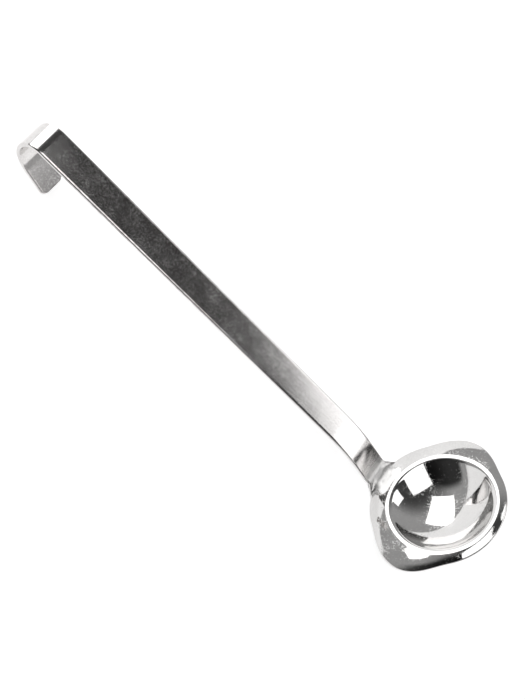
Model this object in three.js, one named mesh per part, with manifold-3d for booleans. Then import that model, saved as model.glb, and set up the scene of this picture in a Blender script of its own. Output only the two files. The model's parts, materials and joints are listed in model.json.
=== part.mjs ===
// Sauce ladle of stainless steel: a shallow pressed bowl with a flared rim and a pouring lip on each side,
// joined by a ground weld to a bent strap handle that ends in a hanging hook.
// Everything is shaped in the strap's own frame: x runs from the hook to the bowl, y across the strap and
// z out of its front face, with the origin on the front face where the hook's bend begins.
// At the end the ladle is laid down the way it lies on a table, on its bowl and the tip of its hook.
import * as THREE from 'three';
import { mergeVertices } from 'three/addons/utils/BufferGeometryUtils.js';
import Module from 'manifold-3d';

// Strap, in millimetres; all bend radii are those of the front face
const strapThickness = 2.4;
const strapEdgeRadius = 0.7;
const widthAtHook = 17;
const widthAtRim = 16.6;
const widthAtTip = 16;
const tipCornerRadius = 3;
const handleRun = 204;

// Hanging hook, bent backwards in two steps; angles in degrees
const hookLegLength = 16.2;
const hookCrestRadius = 20;
const hookCrestAngle = 87;
const hookRootRadius = 11;
const hookRootAngle = 62;

// Neck: a slow bend backwards, then a straight stretch down to the rim
const neckBendRadius = 77;
const neckBendAngle = 20.2;
const neckRun = 17.2;

// Weld between strap and tongue, ground flush
const weldLength = 1.5;
const seamGap = 0.3;

// Tongue: the bowl's own strip, folded up from the rim to meet the weld. Its foot rises slowly out of the
// flange, lies a little proud of it and thins out inside the sheet, to shares of the sheet's thickness.
const tongueRise = 10.4;
const foldRadius = 6.5;
const footRise = 14;
const footReach = 3.5;
const footProud = 0.1;
const footFrontShare = 0.35;
const footBackShare = 0.7;

// Bowl: inside sizes, with depths measured down from the crest of the rim. The cup lies forward in the rim,
// so the flange is widest towards the handle. The flange droops, from its own angle to the rim's.
const bowlWall = 2;
const bowlDepth = 12.5;
const cupForward = 3.2;
const lipBendRadius = 4;
const flangeWidth = 7.2;
const flangeDroopAngle = 12;
const rimRadius = 36.7;
const rimDroopAngle = 20;
const rimPitch = 56;

// Saddle: beside the tongue the rim rises with the fold; spans are angles round the rim from the handle
const saddleLevelSpan = 6;
const saddleHalfSpan = 20;

// Pouring lips, one on each side of the handle; places are angles round the rim from the handle
const lipPlace = 88;
const lipHalfSpan = 42;
const lipReach = 5.8;
const lipDrop = 1.6;

// Fineness of the facets
const bendStep = 9;
const roundTheRim = 64;
const cupSteps = 9;
const lipBendSteps = 5;
const flangeSteps = 8;
const edgeSteps = 4;
const cornerSteps = 2;
const tipSteps = 4;
const widestEdgeShare = 0.45;

const radians = THREE.MathUtils.degToRad;
const wasm = await Module();
wasm.setup();

// Follows the strap's front face in the x-z plane. A move is a straight run or a bend of a radius and a turn,
// where a turn above zero bends the strap towards its front. Heading 0 points along +x.
function followStrap(start, heading, moves) {
  const stations = [{ x: start.x, z: start.y, heading, travelled: 0 }];
  for (const move of moves) {
    const from = stations.at(-1);
    if (move.run !== undefined) {
      stations.push({
        x: from.x + move.run * Math.cos(from.heading),
        z: from.z + move.run * Math.sin(from.heading),
        heading: from.heading,
        travelled: from.travelled + move.run,
      });
      continue;
    }
    const turn = radians(move.turn);
    const side = Math.sign(turn) * move.radius;
    const centreX = from.x - side * Math.sin(from.heading);
    const centreZ = from.z + side * Math.cos(from.heading);
    const steps = Math.ceil(Math.abs(move.turn) / bendStep);
    for (let i = 1; i <= steps; i++) {
      const angle = from.heading + (turn * i) / steps;
      stations.push({
        x: centreX + side * Math.sin(angle),
        z: centreZ - side * Math.cos(angle),
        heading: angle,
        travelled: from.travelled + (Math.abs(turn) * move.radius * i) / steps,
      });
    }
  }
  return stations;
}

// The strap's section at a station: a rectangle with rounded edges, across the strap and below its front face.
function sectionRing(width, front, back, edgeRadius) {
  const ring = [];
  const corners = [
    [width / 2, front, 0],
    [-width / 2, front, 90],
    [-width / 2, back, 180],
    [width / 2, back, 270],
  ];
  for (const [side, face, startAngle] of corners) {
    const centreAcross = side - Math.sign(side) * edgeRadius;
    const centreDepth = face === front ? face - edgeRadius : face + edgeRadius;
    for (let i = 0; i <= cornerSteps; i++) {
      const angle = radians(startAngle + (90 * i) / cornerSteps);
      ring.push([centreAcross + edgeRadius * Math.cos(angle), centreDepth + edgeRadius * Math.sin(angle)]);
    }
  }
  return ring;
}

// Joins the section rings of all stations into one closed body.
function sweepStrap(stations) {
  const positions = [];
  const indices = [];
  let ringSize = 0;
  for (const station of stations) {
    const front = station.front ?? 0;
    const back = station.back ?? -strapThickness;
    const edge = Math.min(strapEdgeRadius, (front - back) * widestEdgeShare);
    const ring = sectionRing(station.width, front, back, edge);
    ringSize = ring.length;
    for (const [across, depth] of ring) {
      positions.push(
        station.x - depth * Math.sin(station.heading),
        across,
        station.z + depth * Math.cos(station.heading),
      );
    }
  }
  for (let i = 0; i + 1 < stations.length; i++) {
    for (let j = 0; j < ringSize; j++) {
      const next = (j + 1) % ringSize;
      const a = i * ringSize + j;
      const b = i * ringSize + next;
      const c = (i + 1) * ringSize + j;
      const d = (i + 1) * ringSize + next;
      indices.push(a, b, c);
      indices.push(b, d, c);
    }
  }
  const last = (stations.length - 1) * ringSize;
  for (let j = 1; j + 1 < ringSize; j++) {
    indices.push(0, j + 1, j);
    indices.push(last, last + j, last + j + 1);
  }
  return indexedGeometry(positions, indices);
}

function indexedGeometry(positions, indices) {
  const geometry = new THREE.BufferGeometry();
  geometry.setAttribute('position', new THREE.Float32BufferAttribute(positions, 3));
  geometry.setIndex(indices);
  return geometry;
}

function toSolid(geometry) {
  const merged = mergeVertices(geometry, 1e-4);
  return new wasm.Manifold(new wasm.Mesh({
    numProp: 3,
    vertProperties: merged.attributes.position.array,
    triVerts: Uint32Array.from(merged.index.array),
  }));
}

function fromSolid(solid) {
  const mesh = solid.getMesh();
  return indexedGeometry(mesh.vertProperties, Array.from(mesh.triVerts));
}

// Route of the strap from the hook's tip to the rim, on its front face
const hookTurn = hookRootAngle + hookCrestAngle;
const hookMoves = [
  { run: hookLegLength },
  { radius: hookCrestRadius, turn: -hookCrestAngle },
  { radius: hookRootRadius, turn: -hookRootAngle },
];
const hookFromTip = followStrap(new THREE.Vector2(0, 0), radians(hookTurn), hookMoves);
const hookEnd = hookFromTip.at(-1);
const hookTip = new THREE.Vector2(-hookEnd.x, -hookEnd.z);
const hook = followStrap(hookTip, radians(hookTurn), hookMoves);
const hookLength = hook.at(-1).travelled;

const neckBend = followStrap(new THREE.Vector2(0, 0), 0, [
  { run: handleRun },
  { radius: neckBendRadius, turn: -neckBendAngle },
]);
const neckEnd = neckBend.at(-1);
const strapLength = neckEnd.travelled + neckRun;

// The strap widens from tip to hook root and narrows again, very slowly, down to the rim.
function widthOnRun(travelled) {
  return THREE.MathUtils.lerp(widthAtHook, widthAtRim, travelled / strapLength);
}

// Rim on the handle's side, seen along y: r is out from the bowl's axis, h up from the rim's crest
const edgeRound = bowlWall / 2;
const crestRadius = rimRadius - flangeWidth;
const flangeDroop = radians(flangeDroopAngle);
const rimDroop = radians(rimDroopAngle);
const flangeStartRadius = crestRadius + lipBendRadius * Math.sin(flangeDroop);
const flangeEndRadius = rimRadius - edgeRound * (1 - Math.sin(rimDroop));
const flangeArc = (flangeEndRadius - flangeStartRadius) / (Math.sin(rimDroop) - Math.sin(flangeDroop));

// Place on the flange's front face: out is 0 where the lip bend ends and 1 at the rim's edge.
function flangePlace(out) {
  const angle = flangeDroop + (rimDroop - flangeDroop) * out;
  const bendDrop = lipBendRadius * (1 - Math.cos(flangeDroop));
  return {
    r: flangeStartRadius + flangeArc * (Math.sin(angle) - Math.sin(flangeDroop)),
    h: -bendDrop - flangeArc * (Math.cos(flangeDroop) - Math.cos(angle)),
    forward: cupForward * (1 - out),
    out,
  };
}
const flangeEnd = flangePlace(1);

// Fold of the tongue: its foot starts on the flange near the lip bend and meets the line of the neck.
const neckAngle = radians(neckBendAngle + rimPitch);
const footAngle = radians(footRise);
const footWay = new THREE.Vector2(Math.cos(footAngle), Math.sin(footAngle));
const neckWay = new THREE.Vector2(Math.cos(neckAngle), Math.sin(neckAngle));
const rimCorner = new THREE.Vector2(flangeEnd.r, flangeEnd.h);
const footPlace = flangePlace(1 / flangeSteps);
const footStart = new THREE.Vector2(footPlace.r - footPlace.forward, footPlace.h);
const footToCorner = rimCorner.clone().sub(footStart);
const footLength = footToCorner.cross(neckWay) / footWay.cross(neckWay);
const footMeetsNeck = footStart.clone().addScaledVector(footWay, footLength);
const foldTurn = neckBendAngle + rimPitch - footRise;
const foldTangent = foldRadius * Math.tan(radians(foldTurn) / 2);
const foldStart = footMeetsNeck.clone().addScaledVector(footWay, -foldTangent);
const foldCentre = foldStart.clone().add(new THREE.Vector2(-footWay.y, footWay.x).multiplyScalar(foldRadius));
const foldEndRise = footMeetsNeck.clone().sub(rimCorner).dot(neckWay) + foldTangent;

// Height of the fold's front face at a distance out from the bowl's axis towards the handle.
function foldHeight(outwards) {
  if (outwards < foldStart.x) return footStart.y + (outwards - footStart.x) * Math.tan(footAngle);
  return foldCentre.y - Math.sqrt(Math.max(0, foldRadius ** 2 - (outwards - foldCentre.x) ** 2));
}

const strapEndRun = neckRun - tongueRise - weldLength - 2 * seamGap;

// Stretch of the neck's straight part, from one distance past the slow bend to another.
function neckStretch(from, to) {
  const start = followStrap(new THREE.Vector2(neckEnd.x, neckEnd.z), neckEnd.heading, [{ run: from }]).at(-1);
  const stretch = followStrap(new THREE.Vector2(start.x, start.z), start.heading, [{ run: to - from }]);
  for (const station of stretch) {
    station.width = widthOnRun(neckEnd.travelled + from + station.travelled);
  }
  return stretch;
}

// Handle: tip with rounded corners, hook, straight run, slow bend and the first stretch of the neck
for (const station of hook) {
  station.width = THREE.MathUtils.lerp(widthAtTip, widthAtHook, station.travelled / hookLength);
}
for (const station of neckBend) {
  station.width = widthOnRun(station.travelled);
}
const tipStations = [];
for (let i = 0; i < tipSteps; i++) {
  const angle = radians((90 * i) / tipSteps);
  const back = tipCornerRadius * (1 - Math.cos(angle));
  const inset = tipCornerRadius * (1 - Math.sin(angle));
  const place = followStrap(hookTip, radians(hookTurn), [{ run: back }]).at(-1);
  place.width = widthAtTip - 2 * inset;
  tipStations.push(place);
}
const tipFull = followStrap(hookTip, radians(hookTurn), [{ run: tipCornerRadius }]).at(-1);
tipFull.width = widthAtTip;
const handleGeometry = sweepStrap([
  ...tipStations,
  tipFull,
  ...hook.slice(1),
  ...neckBend.slice(1),
  ...neckStretch(0, strapEndRun).slice(1),
]);

// Weld bead, between the strap's end and the tongue
const weldStart = strapEndRun + seamGap;
const weldGeometry = sweepStrap(neckStretch(weldStart, weldStart + weldLength));

// Tongue: from the weld down the neck, round the fold and along its foot into the flange
const tongueRun = neckStretch(neckRun - tongueRise, neckRun - foldEndRise);
const tongueTop = tongueRun.at(-1);
const foot = followStrap(new THREE.Vector2(tongueTop.x, tongueTop.z), tongueTop.heading, [
  { radius: foldRadius, turn: foldTurn },
  { run: footReach },
]);
for (const station of foot) {
  station.width = tongueTop.width;
}
foot.at(-1).front = -bowlWall * footFrontShare;
foot.at(-1).back = -bowlWall * footBackShare;
const tongue = toSolid(sweepStrap([...tongueRun, ...foot.slice(1)]));

// Front face of the bowl's sheet from the pole to the rim: the cup is part of a sphere, tangent to the lip bend
const cupAngle = 2 * Math.atan(bowlDepth / crestRadius);
const cupRadius = crestRadius / Math.sin(cupAngle) - lipBendRadius;

function frontProfile() {
  const places = [];
  for (let i = 1; i <= cupSteps; i++) {
    const angle = (cupAngle * i) / cupSteps;
    const r = cupRadius * Math.sin(angle);
    const h = cupRadius * (1 - Math.cos(angle)) - bowlDepth;
    places.push({ r, h, forward: cupForward, out: 0 });
  }
  for (let i = 1; i <= lipBendSteps; i++) {
    const angle = cupAngle - ((cupAngle + flangeDroop) * i) / lipBendSteps;
    const r = crestRadius - lipBendRadius * Math.sin(angle);
    const h = -lipBendRadius * (1 - Math.cos(angle));
    places.push({ r, h, forward: cupForward, out: 0 });
  }
  for (let i = 1; i <= flangeSteps; i++) {
    places.push(flangePlace(i / flangeSteps));
  }
  return places;
}

// Share of a bulge of the rim at an angle away from its middle: 1 on its level part, 0 outside it
function bulgeShare(away, levelSpan, halfSpan) {
  const fallen = THREE.MathUtils.clamp((away - levelSpan) / (halfSpan - levelSpan), 0, 1);
  return Math.cos((Math.PI / 2) * fallen) ** 2;
}

// Point on the front face: the flange is drawn out and down at the pouring lips, and up with the fold.
function frontPoint({ r, h, forward, out }, turn) {
  const fromHandle = THREE.MathUtils.radToDeg(Math.min(turn, 2 * Math.PI - turn));
  const lip = bulgeShare(Math.abs(fromHandle - lipPlace), 0, lipHalfSpan);
  const saddle = out > 0 ? bulgeShare(fromHandle, saddleLevelSpan, saddleHalfSpan) : 0;
  const rise = Math.max(0, foldHeight(r * Math.cos(turn) - forward) - footProud - h);
  const drawn = r + lip * lipReach * out ** 2;
  return new THREE.Vector3(
    forward - drawn * Math.cos(turn),
    drawn * Math.sin(turn),
    h + saddle * rise - lip * lipDrop * out ** 4,
  );
}

// Bowl: the front face, the rim's rounded edge and the back face, which lies one wall below the front.
function bowlShell() {
  const places = frontProfile();
  const pole = new THREE.Vector3(cupForward, 0, -bowlDepth);
  const turns = Array.from({ length: roundTheRim }, (_, i) => (2 * Math.PI * i) / roundTheRim);
  const front = places.map((place) => turns.map((turn) => frontPoint(place, turn)));
  const rings = front.map((ring) => [...ring]);
  const edge = Array.from({ length: edgeSteps - 1 }, () => []);
  const back = front.map(() => []);
  front.forEach((ring, k) => ring.forEach((point, i) => {
    const inner = k > 0 ? front[k - 1][i] : pole;
    const outer = (front[k + 1] ?? ring)[i];
    const along = outer.clone().sub(inner).normalize();
    const round = ring[(i + roundTheRim - 1) % roundTheRim].clone().sub(ring[(i + 1) % roundTheRim]);
    const normal = along.clone().cross(round).normalize();
    back[k].push(point.clone().addScaledVector(normal, -bowlWall));
    if (k + 1 < front.length) return;
    const middle = point.clone().addScaledVector(normal, -edgeRound);
    for (let step = 1; step < edgeSteps; step++) {
      const angle = (Math.PI * step) / edgeSteps;
      const corner = middle.clone().addScaledVector(normal, edgeRound * Math.cos(angle));
      edge[step - 1].push(corner.addScaledVector(along, edgeRound * Math.sin(angle)));
    }
  }));
  rings.push(...edge, ...back.reverse());
  const positions = [...pole.toArray()];
  for (const point of rings.flat()) {
    positions.push(...point.toArray());
  }
  positions.push(pole.x, pole.y, pole.z - bowlWall);
  const outerPole = positions.length / 3 - 1;
  const lastRing = outerPole - roundTheRim;
  const indices = [];
  for (let i = 0; i < roundTheRim; i++) {
    const next = (i + 1) % roundTheRim;
    indices.push(0, 1 + next, 1 + i);
    for (let k = 0; k + 1 < rings.length; k++) {
      const a = 1 + k * roundTheRim + i;
      const b = 1 + k * roundTheRim + next;
      indices.push(a, b, a + roundTheRim);
      indices.push(b, b + roundTheRim, a + roundTheRim);
    }
    indices.push(outerPole, lastRing + i, lastRing + next);
  }
  return indexedGeometry(positions, indices);
}

// The rim's upper edge on the handle's side lies where the neck's front face ends.
const rimEdge = neckStretch(0, neckRun).at(-1);
const rimTurn = radians(rimPitch);
const crestCentre = new THREE.Vector3(
  rimEdge.x + flangeEnd.r * Math.cos(rimTurn) + flangeEnd.h * Math.sin(rimTurn),
  0,
  rimEdge.z + flangeEnd.r * Math.sin(rimTurn) - flangeEnd.h * Math.cos(rimTurn),
);
const bowlPlace = new THREE.Matrix4().makeRotationY(-rimTurn).setPosition(crestCentre);
const shell = toSolid(bowlShell().applyMatrix4(bowlPlace));
const bowlGeometry = fromSolid(shell.add(tongue));

// Lying on a table: the tilt at which the bowl's underside and the hook's tip are equally low
function lowest(geometry, tilt) {
  const position = geometry.attributes.position;
  let low = Infinity;
  for (let i = 0; i < position.count; i++) {
    low = Math.min(low, position.getZ(i) * Math.cos(tilt) - position.getX(i) * Math.sin(tilt));
  }
  return low;
}
let tiltLow = radians(-45);
let tiltHigh = radians(45);
for (let i = 0; i < 60; i++) {
  const middle = (tiltLow + tiltHigh) / 2;
  if (lowest(bowlGeometry, middle) > lowest(handleGeometry, middle)) tiltLow = middle;
  else tiltHigh = middle;
}
const lyingTilt = (tiltLow + tiltHigh) / 2;

// Satin strap, bright weld, mirror-polished bowl
const satinSteel = new THREE.MeshStandardMaterial({ color: '#8d8a87', roughness: 0.38, metalness: 1 });
const groundSteel = new THREE.MeshStandardMaterial({ color: '#9a9794', roughness: 0.3, metalness: 1 });
const mirrorSteel = new THREE.MeshStandardMaterial({ color: '#c4c2bf', roughness: 0.06, metalness: 1 });

function namedMesh(name, geometry, material) {
  const mesh = new THREE.Mesh(geometry, material);
  mesh.name = name;
  return mesh;
}

const ladle = new THREE.Group();
ladle.add(namedMesh('handle', handleGeometry, satinSteel));
ladle.add(namedMesh('neck_weld', weldGeometry, groundSteel));
ladle.add(namedMesh('bowl', bowlGeometry, mirrorSteel));
ladle.rotation.y = lyingTilt;
ladle.updateMatrixWorld(true);

// Stand the origin under the middle of the ladle, on the table
const extent = new THREE.Box3().setFromObject(ladle, true);
ladle.position.set(-(extent.min.x + extent.max.x) / 2, 0, -extent.min.z);

const sauceLadle = new THREE.Group();
sauceLadle.add(ladle);
sauceLadle.updateMatrixWorld(true);

export default sauceLadle;
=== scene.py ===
"""Looks of the sauce ladle: polished stainless steel, lying on a pale table in plain studio light."""
import json
import math

import bmesh
import bpy
from mathutils import Matrix, Vector
from mathutils.kdtree import KDTree


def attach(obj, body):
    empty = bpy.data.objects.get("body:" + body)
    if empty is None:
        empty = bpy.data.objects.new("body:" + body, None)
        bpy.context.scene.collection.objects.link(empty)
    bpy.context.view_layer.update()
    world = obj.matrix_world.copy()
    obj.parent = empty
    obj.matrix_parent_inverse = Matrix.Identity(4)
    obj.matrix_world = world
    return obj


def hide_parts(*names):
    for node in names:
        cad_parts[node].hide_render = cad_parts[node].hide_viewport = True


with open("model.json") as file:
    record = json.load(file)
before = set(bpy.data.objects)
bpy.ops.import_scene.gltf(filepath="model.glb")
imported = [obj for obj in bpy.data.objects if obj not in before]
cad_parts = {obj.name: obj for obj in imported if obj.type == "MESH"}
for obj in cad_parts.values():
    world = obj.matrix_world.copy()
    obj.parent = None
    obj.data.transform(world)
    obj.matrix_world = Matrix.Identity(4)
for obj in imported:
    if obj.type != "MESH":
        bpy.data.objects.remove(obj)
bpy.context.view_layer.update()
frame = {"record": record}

MM = 0.001

# Sizes of the ladle, the same as in the part's source, in metres and radians
STRAP_THICKNESS = 2.4 * MM
STRAP_EDGE_RADIUS = 0.7 * MM
WIDTH_AT_HOOK = 17 * MM
WIDTH_AT_RIM = 16.6 * MM
WIDTH_AT_TIP = 16 * MM
TIP_CORNER_RADIUS = 3 * MM
HANDLE_RUN = 204 * MM
HOOK_LEG = 16.2 * MM
HOOK_CREST_RADIUS = 20 * MM
HOOK_CREST_ANGLE = math.radians(87)
HOOK_ROOT_RADIUS = 11 * MM
HOOK_ROOT_ANGLE = math.radians(62)
NECK_BEND_RADIUS = 77 * MM
NECK_BEND_ANGLE = math.radians(20.2)
NECK_RUN = 17.2 * MM
FOLD_RADIUS = 6.5 * MM
FOLD_RISE = math.radians(14)
STRAP_END_ABOVE_RIM = 12.5 * MM
TONGUE_END_ABOVE_RIM = 10.4 * MM
BOWL_WALL = 2 * MM
BOWL_DEPTH = 12.5 * MM
CUP_FORWARD = 3.2 * MM
LIP_BEND_RADIUS = 4 * MM
FLANGE_WIDTH = 7.2 * MM
RIM_RADIUS = 36.7 * MM
FLANGE_DROOP = math.radians(12)
RIM_DROOP = math.radians(20)
SADDLE_HALF_SPAN = math.radians(20)
SADDLE_LEVEL_SPAN = math.radians(6)
RIM_PITCH = math.radians(56)
LIP_PLACE = math.radians(88)
LIP_HALF_SPAN = math.radians(42)
LIP_REACH = 5.8 * MM
LIP_DROP = 1.6 * MM

# Rounding of the rim's edge: a little under half the wall, so that the rounds of its two sides stay apart
RIM_EDGE_RADIUS = 0.95 * MM

# Fineness of the sheet
COLUMNS = 128
CUP_RINGS = 96
LIP_BEND_STEPS = 8
FLANGE_STEPS = 8
FOLD_ROW_OUT = 0.5 * MM
TONGUE_COLUMNS = 6
BEND_STEP = math.radians(3)
TIP_STEPS = 6
RUN_STEPS = 12
EDGE_SEGMENTS = 4

# Limits: edges that are sharp, edges that are shaded smooth, points that meet, and bulges that count
SHARP_EDGE = math.radians(50)
SMOOTH_BELOW = math.radians(40)
NEAR = 0.01 * MM
LEAST_BULGE = 0.001

# Where the strap lies, from the record's mount on its front face
strap_mount = next(m for m in frame["record"]["mounts"] if m["name"] == "strap_front")
strap_tilt = math.atan2(strap_mount["axis"][0], strap_mount["axis"][2])
strap_turn = Matrix.Rotation(strap_tilt, 3, "Y")
hook_root = Vector(strap_mount["pos_m"]) - strap_turn @ Vector((HANDLE_RUN / 2, 0, 0))

# Rim of the bowl, seen from the bowl's own axis: r is out from the axis, h up from the rim's crest
edge_round = BOWL_WALL / 2
flange_end = RIM_RADIUS - edge_round * (1 - math.sin(RIM_DROOP))
crest_radius = RIM_RADIUS - FLANGE_WIDTH
cup_angle = 2 * math.atan(BOWL_DEPTH / crest_radius)
cup_radius = crest_radius / math.sin(cup_angle) - LIP_BEND_RADIUS
flange_from = crest_radius + LIP_BEND_RADIUS * math.sin(FLANGE_DROOP)
flange_arc = (flange_end - flange_from) / (math.sin(RIM_DROOP) - math.sin(FLANGE_DROOP))
neck_rise = NECK_BEND_ANGLE + RIM_PITCH


def flange_point(step):
    """Place on the flange after some steps: out from the axis, up, and how far its ring is forward."""
    angle = FLANGE_DROOP + (RIM_DROOP - FLANGE_DROOP) * min(1, step / FLANGE_STEPS)
    r = flange_from + flange_arc * (math.sin(angle) - math.sin(FLANGE_DROOP))
    h = (-LIP_BEND_RADIUS * (1 - math.cos(FLANGE_DROOP))
         - flange_arc * (math.cos(FLANGE_DROOP) - math.cos(angle)))
    if step > FLANGE_STEPS:
        r += edge_round * math.cos(RIM_DROOP)
        h -= edge_round * math.sin(RIM_DROOP)
    return r, h, CUP_FORWARD * max(0, 1 - step / FLANGE_STEPS)


flange_drop = -flange_point(FLANGE_STEPS)[1]


def begin_shaping(piece):
    """Puts one piece, alone, into edit mode."""
    bpy.ops.object.select_all(action="DESELECT")
    piece.select_set(True)
    bpy.context.view_layer.objects.active = piece
    bpy.ops.object.mode_set(mode="EDIT")
    bpy.ops.mesh.select_mode(type="VERT")


def pick(piece, wanted, among_picked=False):
    """Selects the points that answer to wanted, and only those, of the whole piece or of what is selected."""
    points = bmesh.from_edit_mesh(piece.data)
    for point in points.verts:
        point.select = (point.select or not among_picked) and wanted(point.co)
    points.select_flush_mode()
    bmesh.update_edit_mesh(piece.data)


def extrude(step):
    bpy.ops.mesh.extrude_edges_move(TRANSFORM_OT_translate={"value": step})


def move(step):
    bpy.ops.transform.translate(value=step)


def stretch(factors, about):
    """Scales the selection about a point, along the world's axes."""
    bpy.ops.transform.resize(value=factors, center_override=about)


def modifier(piece, kind, **settings):
    """Adds a modifier with its settings and applies it."""
    added = piece.modifiers.new(kind.title(), kind)
    for name, value in settings.items():
        setattr(added, name, value)
    bpy.ops.object.modifier_apply(modifier=added.name)


# Cup: the lower part of a sphere, cut off where the lip bend begins
bpy.ops.object.select_all(action="DESELECT")
bpy.ops.mesh.primitive_uv_sphere_add(segments=COLUMNS, ring_count=CUP_RINGS, radius=cup_radius)
ladle = bpy.context.object
begin_shaping(ladle)
bpy.ops.mesh.select_all(action="SELECT")
move((CUP_FORWARD, 0, cup_radius - BOWL_DEPTH))
lip_start = -LIP_BEND_RADIUS * (1 - math.cos(cup_angle))
bpy.ops.mesh.bisect(plane_co=(0, 0, lip_start), plane_no=(0, 0, 1), clear_outer=True)

# Lip bend: the cup's open edge is drawn up and out over the crest
pick(ladle, lambda p: p.z > lip_start - NEAR)
r_before, h_before = cup_radius * math.sin(cup_angle), lip_start
for i in range(1, LIP_BEND_STEPS + 1):
    angle = cup_angle - (cup_angle + FLANGE_DROOP) * i / LIP_BEND_STEPS
    r = crest_radius - LIP_BEND_RADIUS * math.sin(angle)
    h = -LIP_BEND_RADIUS * (1 - math.cos(angle))
    extrude((0, 0, h - h_before))
    stretch((r / r_before, r / r_before, 1), (CUP_FORWARD, 0, 0))
    r_before, h_before = r, h

# Flange: the rim goes on outwards and droops, widest towards the handle.
# Its last ring goes straight on by what the rounding of the edge takes off again.
forward_before = CUP_FORWARD
for i in range(1, FLANGE_STEPS + 2):
    r, h, forward = flange_point(i)
    extrude((forward - forward_before, 0, h - h_before))
    stretch((r / r_before, r / r_before, 1), (forward, 0, 0))
    r_before, h_before, forward_before = r, h, forward

# Fold from the flange up to the neck, on the handle's side: a foot that rises slowly, then a bend
neck_way = Vector((math.cos(neck_rise), math.sin(neck_rise)))
foot_way = Vector((math.cos(FOLD_RISE), math.sin(FOLD_RISE)))
rim_corner = Vector((flange_end, -flange_drop))
r, h, forward = flange_point(1)
foot_start = Vector((r - forward, h))
foot_meets_neck = foot_start + foot_way * (rim_corner - foot_start).cross(neck_way) / foot_way.cross(neck_way)
fold_tangent = FOLD_RADIUS * math.tan((neck_rise - FOLD_RISE) / 2)
fold_start = foot_meets_neck - fold_tangent * foot_way
fold_centre = fold_start + FOLD_RADIUS * Vector((-foot_way.y, foot_way.x))
fold_end = (foot_meets_neck - rim_corner).dot(neck_way) + fold_tangent


def fold_height(out):
    """Height of the fold's front face at a distance out from the bowl's axis towards the handle."""
    if out < fold_start.x:
        return foot_start.y + (out - foot_start.x) * math.tan(FOLD_RISE)
    return fold_centre.y - math.sqrt(max(0, FOLD_RADIUS ** 2 - (out - fold_centre.x) ** 2))


# Lips and saddle: points of the flange are drawn out and down at the pouring lips, and up with the fold
def falling(away, level_span, half_span):
    """Share of a bulge at an angle away from its middle: one on its level part, none outside it."""
    return math.cos(math.pi / 2 * min(1, max(0, away - level_span) / (half_span - level_span))) ** 2


tongue_half = WIDTH_AT_RIM / 2
tongue_columns = range(COLUMNS // 2 - TONGUE_COLUMNS, COLUMNS // 2 + TONGUE_COLUMNS + 1)
fold_row = Vector((flange_end + FOLD_ROW_OUT, fold_height(flange_end + FOLD_ROW_OUT)))
bulges = []
points = bmesh.from_edit_mesh(ladle.data).verts
by_place = KDTree(len(points))
for point in points:
    by_place.insert(point.co, point.index)
by_place.balance()
for step in range(1, FLANGE_STEPS + 2):
    r, h, forward = flange_point(step)
    way_out = min(1, step / FLANGE_STEPS)
    for column in range(COLUMNS):
        around = 2 * math.pi * column / COLUMNS
        from_handle = abs(math.pi - around)
        lip = falling(abs(from_handle - LIP_PLACE), 0, LIP_HALF_SPAN)
        saddle = falling(from_handle, SADDLE_LEVEL_SPAN, SADDLE_HALF_SPAN)
        if lip + saddle < LEAST_BULGE:
            continue
        outwards = Vector((math.cos(around), math.sin(around), 0))
        plain = outwards * r + Vector((forward, 0, h))
        drawn = plain + outwards * lip * LIP_REACH * way_out ** 2
        drawn.z += saddle * max(0, fold_height(-plain.x) - h) - lip * LIP_DROP * way_out ** 4
        if column in tongue_columns and step > FLANGE_STEPS:
            across = tongue_half * (COLUMNS / 2 - column) / TONGUE_COLUMNS
            drawn = Vector((-fold_row.x, across, fold_row.y))
        bulges.append((by_place.find(plain)[1], drawn - plain))
for index, step in bulges:
    bpy.ops.mesh.select_all(action="DESELECT")
    points = bmesh.from_edit_mesh(ladle.data)
    points.verts.ensure_lookup_table()
    points.verts[index].select = True
    points.select_flush_mode()
    move(step)

# Neck, run and hook: the tongue's end is drawn on along the strap's front face
place = fold_row
heading = neck_rise
travelled = 0
half_width = tongue_half
run_length = NECK_RUN + NECK_BEND_RADIUS * NECK_BEND_ANGLE + HANDLE_RUN
hook_length = HOOK_ROOT_RADIUS * HOOK_ROOT_ANGLE + HOOK_CREST_RADIUS * HOOK_CREST_ANGLE + HOOK_LEG


def set_width(width):
    """Makes the strap's last edge as wide as it is at that place."""
    global half_width
    stretch((1, width / 2 / half_width, 1), (0, 0, 0))
    half_width = width / 2


def width_after(length):
    """Width of the strap at a length from the rim."""
    if length <= run_length:
        return WIDTH_AT_RIM + (WIDTH_AT_HOOK - WIDTH_AT_RIM) * length / run_length
    return WIDTH_AT_HOOK + (WIDTH_AT_TIP - WIDTH_AT_HOOK) * (length - run_length) / hook_length


def draw_to(next_place):
    """Draws the strap's last edge on to a place, out from the bowl's axis and up."""
    global place
    extrude((place.x - next_place.x, 0, next_place.y - place.y))
    place = next_place


def run(length, width=None):
    """Draws the strap straight on."""
    global travelled
    draw_to(place + length * Vector((math.cos(heading), math.sin(heading))))
    travelled += length
    set_width(width_after(travelled) if width is None else width)


def bend(radius, turn):
    """Bends the strap backwards about a radius of its front face."""
    global place, heading, travelled
    steps = math.ceil(turn / BEND_STEP)
    for _ in range(steps):
        back = Vector((math.sin(heading), -math.cos(heading)))
        centre = place + radius * back
        bpy.ops.mesh.spin(steps=1, angle=turn / steps, center=(-centre.x, 0, centre.y), axis=(0, 1, 0))
        heading -= turn / steps
        place = centre - radius * Vector((math.sin(heading), -math.cos(heading)))
        travelled += radius * turn / steps
        set_width(width_after(travelled))


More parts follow.
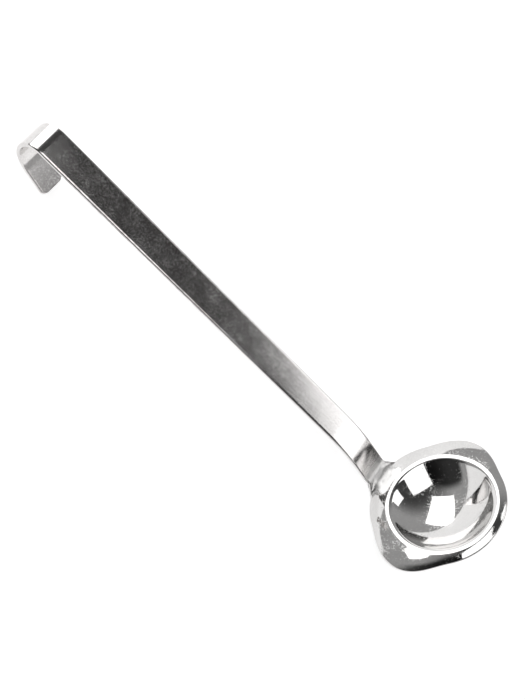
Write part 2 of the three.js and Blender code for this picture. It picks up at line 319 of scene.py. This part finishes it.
pick(ladle, lambda p: abs(p.x + fold_row.x) < NEAR and abs(p.z - fold_row.y) < NEAR)
row_angle = math.asin((fold_row.x - fold_centre.x) / FOLD_RADIUS)
fold_steps = math.ceil((neck_rise - row_angle) / BEND_STEP)
for step in range(1, fold_steps + 1):
    angle = row_angle + (neck_rise - row_angle) * step / fold_steps
    draw_to(fold_centre + FOLD_RADIUS * Vector((math.sin(angle), -math.cos(angle))))
travelled = fold_end
run(TONGUE_END_ABOVE_RIM - fold_end)
run(STRAP_END_ABOVE_RIM - TONGUE_END_ABOVE_RIM)
run(NECK_RUN - STRAP_END_ABOVE_RIM)
bend(NECK_BEND_RADIUS, NECK_BEND_ANGLE)
for _ in range(RUN_STEPS):
    run(HANDLE_RUN / RUN_STEPS)
bend(HOOK_ROOT_RADIUS, HOOK_ROOT_ANGLE)
bend(HOOK_CREST_RADIUS, HOOK_CREST_ANGLE)
run(HOOK_LEG - TIP_CORNER_RADIUS)
for step in range(1, TIP_STEPS + 1):
    angle = math.pi / 2 * step / TIP_STEPS
    before = math.pi / 2 * (step - 1) / TIP_STEPS
    run(TIP_CORNER_RADIUS * (math.sin(angle) - math.sin(before)),
        WIDTH_AT_TIP - 2 * TIP_CORNER_RADIUS * (1 - math.cos(angle)))


# Sheet: the front is thickened backwards, the strap a little more than the bowl
def above_rim(p):
    """Height of a place along the neck, from the rim's corner up."""
    return neck_way.dot(Vector((-p.x, p.z)) - rim_corner)


def weigh(group_weight):
    """Gives the selected points that share of the strap's thickness."""
    bpy.context.scene.tool_settings.vertex_group_weight = group_weight
    bpy.ops.object.vertex_group_assign()


bpy.ops.mesh.select_all(action="SELECT")
bpy.ops.mesh.remove_doubles(threshold=NEAR)
bpy.ops.object.vertex_group_add()
bowl_share = BOWL_WALL / STRAP_THICKNESS
weigh(bowl_share)
pick(ladle, lambda p: above_rim(p) > NEAR)
weigh((1 + bowl_share) / 2)
pick(ladle, lambda p: above_rim(p) > fold_end - NEAR)
weigh(1)
bpy.ops.object.mode_set(mode="OBJECT")
modifier(ladle, "SOLIDIFY", thickness=STRAP_THICKNESS, offset=1, use_even_offset=True,
         vertex_group=ladle.vertex_groups[0].name)

# Edges: the strap's are broken, and the rim's is rounded over nearly its whole thickness
begin_shaping(ladle)
bpy.ops.mesh.select_mode(type="EDGE")
bpy.ops.mesh.select_all(action="DESELECT")
bpy.ops.mesh.edges_select_sharp(sharpness=SHARP_EDGE)
bpy.ops.transform.edge_bevelweight(value=STRAP_EDGE_RADIUS / RIM_EDGE_RADIUS)
pick(ladle, lambda p: above_rim(p) < 0, among_picked=True)
bpy.ops.transform.edge_bevelweight(value=1)
bpy.ops.object.mode_set(mode="OBJECT")
modifier(ladle, "BEVEL", width=RIM_EDGE_RADIUS, segments=EDGE_SEGMENTS, limit_method="WEIGHT",
         use_clamp_overlap=False, loop_slide=False)


# Pieces: strap and weld are parted off across the neck, and every cut is closed
def part_off(whole, lowest):
    """Parts off all that lies higher on the neck than lowest, as a piece of its own."""
    begin_shaping(whole)
    bpy.ops.mesh.select_mode(type="FACE")
    faces = bmesh.from_edit_mesh(whole.data).faces
    for face in faces:
        face.select_set(above_rim(face.calc_center_median()) > lowest)
    bmesh.update_edit_mesh(whole.data)
    bpy.ops.mesh.separate(type="SELECTED")
    bpy.ops.object.mode_set(mode="OBJECT")
    return next(o for o in bpy.context.selected_objects if o != whole)


strap = part_off(ladle, STRAP_END_ABOVE_RIM)
weld = part_off(ladle, TONGUE_END_ABOVE_RIM)
bowl = ladle
crest_centre = Vector((
    HANDLE_RUN + NECK_BEND_RADIUS * math.sin(NECK_BEND_ANGLE) + NECK_RUN * math.cos(NECK_BEND_ANGLE)
    + flange_end * math.cos(RIM_PITCH) - flange_drop * math.sin(RIM_PITCH),
    0,
    -NECK_BEND_RADIUS * (1 - math.cos(NECK_BEND_ANGLE)) - NECK_RUN * math.sin(NECK_BEND_ANGLE)
    + flange_end * math.sin(RIM_PITCH) + flange_drop * math.cos(RIM_PITCH)))
for piece, name, node, slot in ((strap, "strap_handle", "handle", "satin_steel"),
                                (weld, "flush_weld", "neck_weld", "ground_steel"),
                                (bowl, "pressed_bowl", "bowl", "mirror_steel")):
    piece.name = name
    begin_shaping(piece)
    bpy.ops.mesh.select_all(action="SELECT")
    bpy.ops.mesh.fill_holes(sides=0)
    bpy.ops.object.mode_set(mode="OBJECT")
    piece.rotation_euler = (0, strap_tilt - RIM_PITCH, 0)
    piece.location = hook_root + strap_turn @ crest_centre
    bpy.ops.object.transform_apply(location=True, rotation=True, scale=True)
    # Points that the rounding pushed a little below the table are set on it
    begin_shaping(piece)
    pick(piece, lambda p: p.z < 0)
    stretch((1, 1, 0), (0, 0, 0))
    bpy.ops.object.mode_set(mode="OBJECT")
    bpy.ops.object.shade_smooth_by_angle(angle=SMOOTH_BELOW)
    modifier(piece, "WEIGHTED_NORMAL", keep_sharp=True)
    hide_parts(node)
    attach(piece, "root")


# Materials
def linear(hex_colour):
    """sRGB hex value as linear red, green and blue with full cover."""
    parts = [int(hex_colour[i:i + 2], 16) / 255 for i in (1, 3, 5)]
    return [c / 12.92 if c <= 0.04045 else ((c + 0.055) / 1.055) ** 2.4 for c in parts] + [1]


def add_node(tree, kind, inputs=None, **settings):
    """Adds a node with its settings; an input takes a value or the socket that is linked to it."""
    node = tree.nodes.new(kind)
    for name, value in settings.items():
        setattr(node, name, value)
    for name, value in (inputs or {}).items():
        if isinstance(value, bpy.types.NodeSocket):
            tree.links.new(value, node.inputs[name])
        else:
            node.inputs[name].default_value = value
    return node


def new_material(name):
    """Adds a material with an empty node tree."""
    material = bpy.data.materials.new(name)
    material.use_nodes = True
    material.node_tree.nodes.clear()
    return material, material.node_tree


# Middle of the fold, in the built frame: the finish changes with the distance from it
fold_middle = (hook_root + strap_turn @ crest_centre
               + Matrix.Rotation(strap_tilt - RIM_PITCH, 3, "Y") @ Vector((-fold_row.x, 0, fold_row.y)))
POLISH_FROM = 7 * MM
POLISH_TO = 15 * MM
MOTTLE_FROM = 70 * MM
MOTTLE_FULL = 150 * MM
MOTTLE_FADES = 225 * MM
MOTTLE_ENDS = 242 * MM

# Sizes of the finish: real pits and brush marks are finer than a pixel, so they are drawn coarser
TONE_SIZE = 9 * MM
PIT_SIZE = 0.9 * MM
STRAP_GRAIN = (14 * MM, 0.9 * MM, 0.9 * MM)
STRAP_GRAIN_DEPTH = 0.003 * MM
BOWL_GRAIN = (5 * MM, 5 * MM, 5 * MM)
BOWL_GRAIN_DEPTH = 0.004 * MM

# Mottle: share of the slow tone, how calm it is off the run, where it is darkest and where pits begin
TONE_SHARE = 0.6
CALM = 0.7
DARKEST = 0.6
PITS_BEGIN = 0.84

# Sockets of the mix node that take and give colour
FIRST_COLOUR = 6
SECOND_COLOUR = 7
MIXED_COLOUR = 2


def steel(name, light, dark, satin, polished, pits, grain, grain_depth):
    """Stainless steel, satin round the fold and polished away from it, with pits and grain as given."""
    material, tree = new_material(name)
    where = add_node(tree, "ShaderNodeTexCoord")
    away = add_node(tree, "ShaderNodeVectorMath", {0: where.outputs["Object"], 1: fold_middle},
                    operation="DISTANCE")
    # Mottle: pits and slow changes of tone on the strap's run, calm near the neck and on the hook
    tone = add_node(tree, "ShaderNodeTexNoise",
                    {"Vector": where.outputs["Object"], "Scale": 1 / TONE_SIZE, "Detail": 4})
    specks = add_node(tree, "ShaderNodeTexNoise",
                      {"Vector": where.outputs["Object"], "Scale": 1 / PIT_SIZE, "Detail": 2})
    mottle = add_node(tree, "ShaderNodeMath",
                      {0: tone.outputs["Fac"], 1: TONE_SHARE, 2: specks.outputs["Fac"]},
                      operation="MULTIPLY_ADD")
    calm_neck = add_node(tree, "ShaderNodeMapRange",
                         {"Value": away.outputs["Value"], "From Min": MOTTLE_FROM, "From Max": MOTTLE_FULL,
                          "To Min": CALM, "To Max": 0})
    calm_hook = add_node(tree, "ShaderNodeMapRange",
                         {"Value": away.outputs["Value"], "From Min": MOTTLE_FADES, "From Max": MOTTLE_ENDS,
                          "To Min": 0, "To Max": CALM})
    calm = add_node(tree, "ShaderNodeMath", {0: calm_neck.outputs["Result"], 1: calm_hook.outputs["Result"]},
                    operation="MAXIMUM")
    share = add_node(tree, "ShaderNodeMapRange",
                     {"Value": mottle.outputs[0], "From Min": DARKEST, "From Max": 1,
                      "To Min": calm.outputs[0]})
    colour = add_node(tree, "ShaderNodeMix",
                      {"Factor": share.outputs["Result"], FIRST_COLOUR: linear(dark),
                       SECOND_COLOUR: linear(light)}, data_type="RGBA")
    pitted = add_node(tree, "ShaderNodeMapRange",
                      {"Value": mottle.outputs[0], "From Min": PITS_BEGIN, "From Max": 1,
                       "To Min": 0, "To Max": pits})
    # Polish: sharp reflections in the bowl, soft ones at the fold and on the strap
    polish = add_node(tree, "ShaderNodeMapRange",
                      {"Value": away.outputs["Value"], "From Min": POLISH_FROM, "From Max": POLISH_TO,
                       "To Min": satin, "To Max": polished}, interpolation_type="SMOOTHSTEP")
    rough = add_node(tree, "ShaderNodeMath", {0: polish.outputs["Result"], 1: pitted.outputs["Result"]},
                     operation="ADD")
    # Grain: the marks of belt and buffing wheel, which pull reflections a little out of true
    along = add_node(tree, "ShaderNodeMapping",
                     {"Vector": where.outputs["Object"], "Rotation": (0, strap_tilt, 0), "Scale": grain},
                     vector_type="TEXTURE")
    marks = add_node(tree, "ShaderNodeTexNoise", {"Vector": along.outputs["Vector"], "Scale": 1, "Detail": 3})
    bump = add_node(tree, "ShaderNodeBump",
                    {"Height": marks.outputs["Fac"], "Strength": 1, "Distance": grain_depth})
    metal = add_node(tree, "ShaderNodeBsdfPrincipled",
                     {"Base Color": colour.outputs[MIXED_COLOUR], "Metallic": 1,
                      "Roughness": rough.outputs[0], "Normal": bump.outputs["Normal"]})
    add_node(tree, "ShaderNodeOutputMaterial", {"Surface": metal.outputs["BSDF"]})
    return material


# Satin strap: brushed along its length, so lamps show on it as soft bands, with a fine grey mottle
satin = steel("satin_brushed_stainless_steel", "#dedcdb", "#a4a09f", satin=0.2, polished=0.13, pits=0.03,
              grain=STRAP_GRAIN, grain_depth=STRAP_GRAIN_DEPTH)
# Ground weld: the strap's steel, ground flush, so its reflections are a little duller than the strap's
ground = steel("ground_flush_stainless_weld", "#dedcdb", "#a4a09f", satin=0.26, polished=0.2, pits=0.03,
               grain=STRAP_GRAIN, grain_depth=STRAP_GRAIN_DEPTH)
# Mirror bowl: buffed bright, so lamps show as sharp white shapes and the room as dark and pale fields
mirror = steel("mirror_polished_stainless_steel", "#dad9d8", "#bcbbba", satin=0.34, polished=0.04, pits=0.22,
               grain=BOWL_GRAIN, grain_depth=BOWL_GRAIN_DEPTH)
for piece, material in ((strap, satin), (weld, ground), (bowl, mirror)):
    piece.data.materials.clear()
    piece.data.materials.append(material)

# Floor: a pale matt table that looks white to the camera and in the steel
FLOOR_RADIUS = 6
FLOOR_SIDES = 96
FLOOR_GLOW = 0.68
bpy.ops.mesh.primitive_circle_add(vertices=FLOOR_SIDES, radius=FLOOR_RADIUS, fill_type="NGON",
                                  location=(0, 0, 0))
floor = bpy.context.object
floor.name = "floor"
floor_material, tree = new_material("pale_table")
path = add_node(tree, "ShaderNodeLightPath")
sees = add_node(tree, "ShaderNodeMath", {0: path.outputs["Is Camera Ray"], 1: path.outputs["Is Glossy Ray"]},
                operation="MAXIMUM")
sees = add_node(tree, "ShaderNodeMath", {0: sees.outputs[0], 1: path.outputs["Is Transmission Ray"]},
                operation="MAXIMUM")
matt = add_node(tree, "ShaderNodeBsdfDiffuse", {"Color": linear("#d8d8d8")})
glow = add_node(tree, "ShaderNodeEmission", {"Color": linear("#ffffff"), "Strength": FLOOR_GLOW})
both = add_node(tree, "ShaderNodeAddShader", {0: matt.outputs[0], 1: glow.outputs[0]})
mixed = add_node(tree, "ShaderNodeMixShader", {0: sees.outputs[0], 1: matt.outputs[0], 2: both.outputs[0]})
add_node(tree, "ShaderNodeOutputMaterial", {"Surface": mixed.outputs[0]})
floor.data.materials.append(floor_material)

# Room: pale low down, dim overhead and dark on one side.
# Heights are sines of the angle above the table, and edges of the dark side cosines from its middle.
LOW_LIGHT = 0.4
LOW_UP_TO = 0.4
HIGH_LIGHT = 0.06
HIGH_FROM = 0.88
DARK_SIDE = (-0.29, -0.81, 0.51)
DARK_OUTER_EDGE = 0.69
DARK_INNER_EDGE = 0.85
DARK_FROM = 0.1
DARK_IN_FULL = 0.22
DARK_SHARE = 0.9
world = bpy.data.worlds.new("studio")
bpy.context.scene.world = world
world.use_nodes = True
tree = world.node_tree
tree.nodes.clear()
way = add_node(tree, "ShaderNodeTexCoord")
parts = add_node(tree, "ShaderNodeSeparateXYZ", {"Vector": way.outputs["Generated"]})
height = add_node(tree, "ShaderNodeMapRange",
                  {"Value": parts.outputs["Z"], "From Min": LOW_UP_TO, "From Max": HIGH_FROM,
                   "To Min": LOW_LIGHT, "To Max": HIGH_LIGHT}, interpolation_type="SMOOTHSTEP")
aside = add_node(tree, "ShaderNodeVectorMath", {0: way.outputs["Generated"], 1: DARK_SIDE},
                 operation="DOT_PRODUCT")
dark_way = add_node(tree, "ShaderNodeMapRange",
                    {"Value": aside.outputs["Value"], "From Min": DARK_OUTER_EDGE,
                     "From Max": DARK_INNER_EDGE}, interpolation_type="SMOOTHSTEP")
raised = add_node(tree, "ShaderNodeMapRange",
                  {"Value": parts.outputs["Z"], "From Min": DARK_FROM, "From Max": DARK_IN_FULL,
                   "To Max": DARK_SHARE}, interpolation_type="SMOOTHSTEP")
darkened = add_node(tree, "ShaderNodeMath", {0: dark_way.outputs["Result"], 1: raised.outputs["Result"]},
                    operation="MULTIPLY")
lit = add_node(tree, "ShaderNodeMath", {0: 1, 1: darkened.outputs[0]}, operation="SUBTRACT")
level = add_node(tree, "ShaderNodeMath", {0: height.outputs["Result"], 1: lit.outputs[0]},
                 operation="MULTIPLY")
sky = add_node(tree, "ShaderNodeBackground", {"Color": linear("#ffffff"), "Strength": level.outputs[0]})
add_node(tree, "ShaderNodeOutputWorld", {"Surface": sky.outputs[0]})


# Softboxes: one overhead, one behind the hook's end and one beyond the bowl on the far side
def softbox(name, place, long_side, across, length, width, watts):
    """Adds an area light whose two sides run along the given ways and whose back is away from the ladle."""
    data = bpy.data.lights.new(name, "AREA")
    data.shape = "RECTANGLE"
    data.size = length
    data.size_y = width
    data.energy = watts
    lamp = bpy.data.objects.new(name, data)
    bpy.context.scene.collection.objects.link(lamp)
    side = Vector(long_side).normalized()
    other = (Vector(across) - side * side.dot(Vector(across))).normalized()
    turn = Matrix((side, other, side.cross(other))).transposed()
    lamp.matrix_world = Matrix.Translation(place) @ turn.to_4x4()
    lamp.visible_camera = False


softbox("overhead_softbox", place=(-0.003, -0.078, 1.012), long_side=(0.438, 0.899, 0),
        across=(-0.899, 0.438, 0), length=0.71, width=0.627, watts=2.5)
softbox("hook_side_softbox", place=(-0.904, 0.414, 0.488), long_side=(-0.083, -0.829, 0.552),
        across=(0.51, 0.44, 0.73), length=1.2, width=0.79, watts=6)
softbox("far_side_softbox", place=(1.233, 0.887, 1.402), long_side=(-0.841, 0.504, 0.199),
        across=(-0.19, -0.619, 0.764), length=2.6, width=0.735, watts=10.1)

# Camera, placed and turned in the strap's own frame
CAMERA_PLACE = Vector((32.876, -183.453, 416.121)) * MM
CAMERA_RIGHT = Vector((0.690569, 0.574336, 0.439604))
CAMERA_UP = Vector((-0.682445, 0.718728, 0.133036))
CAMERA_LENS = 46.511
camera_data = bpy.data.cameras.new("camera")
camera_data.lens = CAMERA_LENS
camera = bpy.data.objects.new("camera", camera_data)
bpy.context.scene.collection.objects.link(camera)
bpy.context.scene.camera = camera
camera_turn = strap_turn @ Matrix((CAMERA_RIGHT, CAMERA_UP, CAMERA_RIGHT.cross(CAMERA_UP))).transposed()
camera.matrix_world = Matrix.Translation(hook_root + strap_turn @ CAMERA_PLACE) @ camera_turn.to_4x4()
bpy.context.scene.view_settings.view_transform = "Standard"
